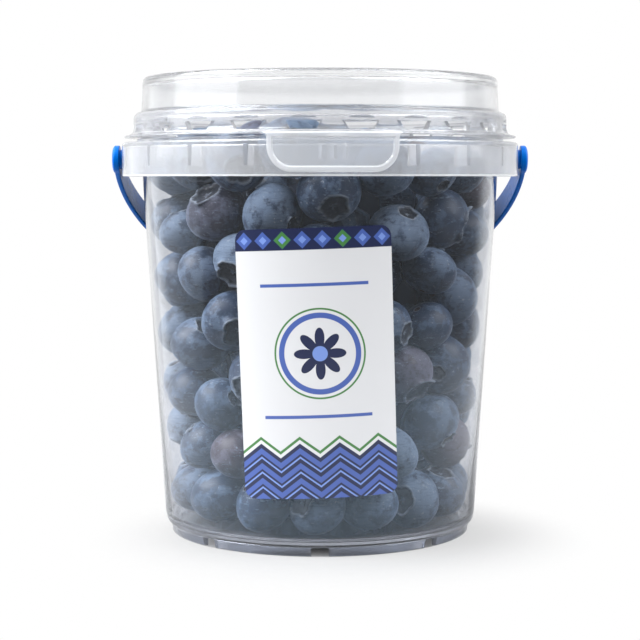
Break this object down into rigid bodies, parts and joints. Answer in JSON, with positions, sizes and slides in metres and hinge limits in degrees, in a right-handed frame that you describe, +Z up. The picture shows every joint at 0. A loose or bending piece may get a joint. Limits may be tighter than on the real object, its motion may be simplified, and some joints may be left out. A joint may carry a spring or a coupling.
{
  "type": "bucket of blueberries",
  "caption": "Clear round plastic bucket filled with blueberries, with a vented press-on lid, a front label and a blue bail handle that swings up to carry it.",
  "frame": {"origin": "middle of the foot ring, on the surface that the bucket stands on", "axes": "+Z up, -Y to the front with the label and the lid's tab, X along the handle's pins"},
  "size_m": [0.1244, 0.1197, 0.1352],
  "materials": {
    "bucket_plastic": "clear, slightly milky moulded plastic",
    "lid_plastic": "clear moulded plastic",
    "label_film": "coated white label with fields of blue and green",
    "blueberry_skin": "dark blue fruit skin with a pale waxy bloom",
    "handle_plastic": "glossy moulded blue"
  },
  "bodies": {
    "bucket": {"bucket": "bucket_plastic", "lid": "lid_plastic", "label": "label_film", "blueberries": "blueberry_skin"},
    "handle": {"handle": "handle_plastic"}
  },
  "joints": [
    {"name": "handle_swing", "type": "hinge", "parent": "bucket", "child": "handle", "pos_m": [0, 0, 0.1111], "axis": [1, 0, 0], "range_deg": [0, 252]}
  ]
}
